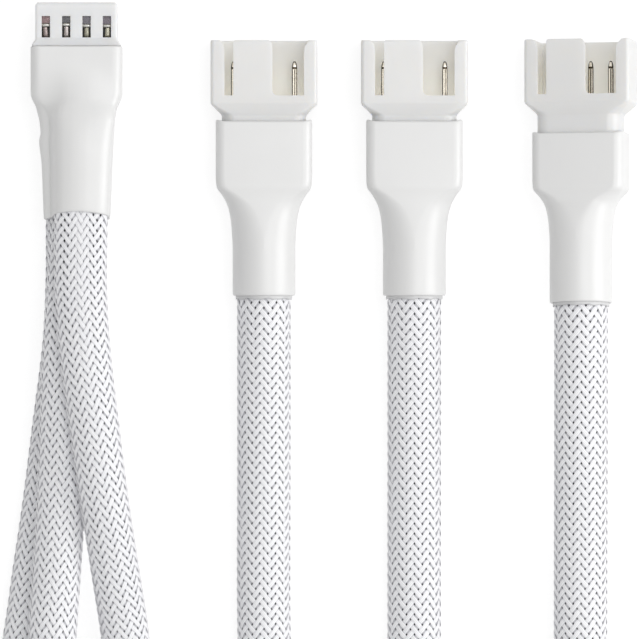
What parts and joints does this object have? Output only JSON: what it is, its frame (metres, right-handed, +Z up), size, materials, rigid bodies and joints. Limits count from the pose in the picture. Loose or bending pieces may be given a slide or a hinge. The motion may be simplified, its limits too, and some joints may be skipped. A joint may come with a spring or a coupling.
{
  "type": "fan splitter cable",
  "caption": "Fan splitter cable: a keyed female plug in a shrink boot feeds keyed, shrouded pin headers through braided sleeved legs.",
  "frame": {"origin": "on the surface that the cable lies on, under the middle of the plug and its boot", "axes": "+Y along the plug, out of its mating face; +Z up, away from the surface; +X across the plug's row of contacts"},
  "size_m": [0.0867, 0.1996, 0.0144],
  "materials": {
    "housing_plastic": "satin moulded white",
    "shrink_boot": "smooth white heat-shrink",
    "braided_sleeve": "braided white yarn",
    "wire_insulation": "matte black insulation",
    "pin_metal": "tin-plated",
    "terminal_metal": "tin-plated sheet"
  },
  "bodies": {
    "root": {"fan_port_1_boot": "shrink_boot", "fan_port_1_housing": "housing_plastic", "fan_port_1_pin_control": "pin_metal", "fan_port_1_pin_ground": "pin_metal", "fan_port_1_pin_power": "pin_metal", "fan_port_1_wire_control": "wire_insulation", "fan_port_1_wire_ground": "wire_insulation", "fan_port_1_wire_power": "wire_insulation", "fan_port_2_boot": "shrink_boot", "fan_port_2_housing": "housing_plastic", "fan_port_2_pin_control": "pin_metal", "fan_port_2_pin_ground": "pin_metal", "fan_port_2_pin_power": "pin_metal", "fan_port_2_wire_control": "wire_insulation", "fan_port_2_wire_ground": "wire_insulation", "fan_port_2_wire_power": "wire_insulation", "fan_port_3_boot": "shrink_boot", "fan_port_3_housing": "housing_plastic", "fan_port_3_pin_control": "pin_metal", "fan_port_3_pin_ground": "pin_metal", "fan_port_3_pin_power": "pin_metal", "fan_port_3_pin_speed": "pin_metal", "fan_port_3_wire_control": "wire_insulation", "fan_port_3_wire_ground": "wire_insulation", "fan_port_3_wire_power": "wire_insulation", "fan_port_3_wire_speed": "wire_insulation", "leg_sleeve_1": "braided_sleeve", "leg_sleeve_2": "braided_sleeve", "leg_sleeve_3": "braided_sleeve", "plug_boot": "shrink_boot", "plug_housing": "housing_plastic", "plug_terminal_control": "terminal_metal", "plug_terminal_ground": "terminal_metal", "plug_terminal_power": "terminal_metal", "plug_terminal_speed": "terminal_metal", "plug_wire_control_1": "wire_insulation", "plug_wire_control_2": "wire_insulation", "plug_wire_control_3": "wire_insulation", "plug_wire_ground_1": "wire_insulation", "plug_wire_ground_2": "wire_insulation", "plug_wire_ground_3": "wire_insulation", "plug_wire_power_1": "wire_insulation", "plug_wire_power_2": "wire_insulation", "plug_wire_power_3": "wire_insulation", "plug_wire_speed_3": "wire_insulation"}
  },
  "joints": []
}
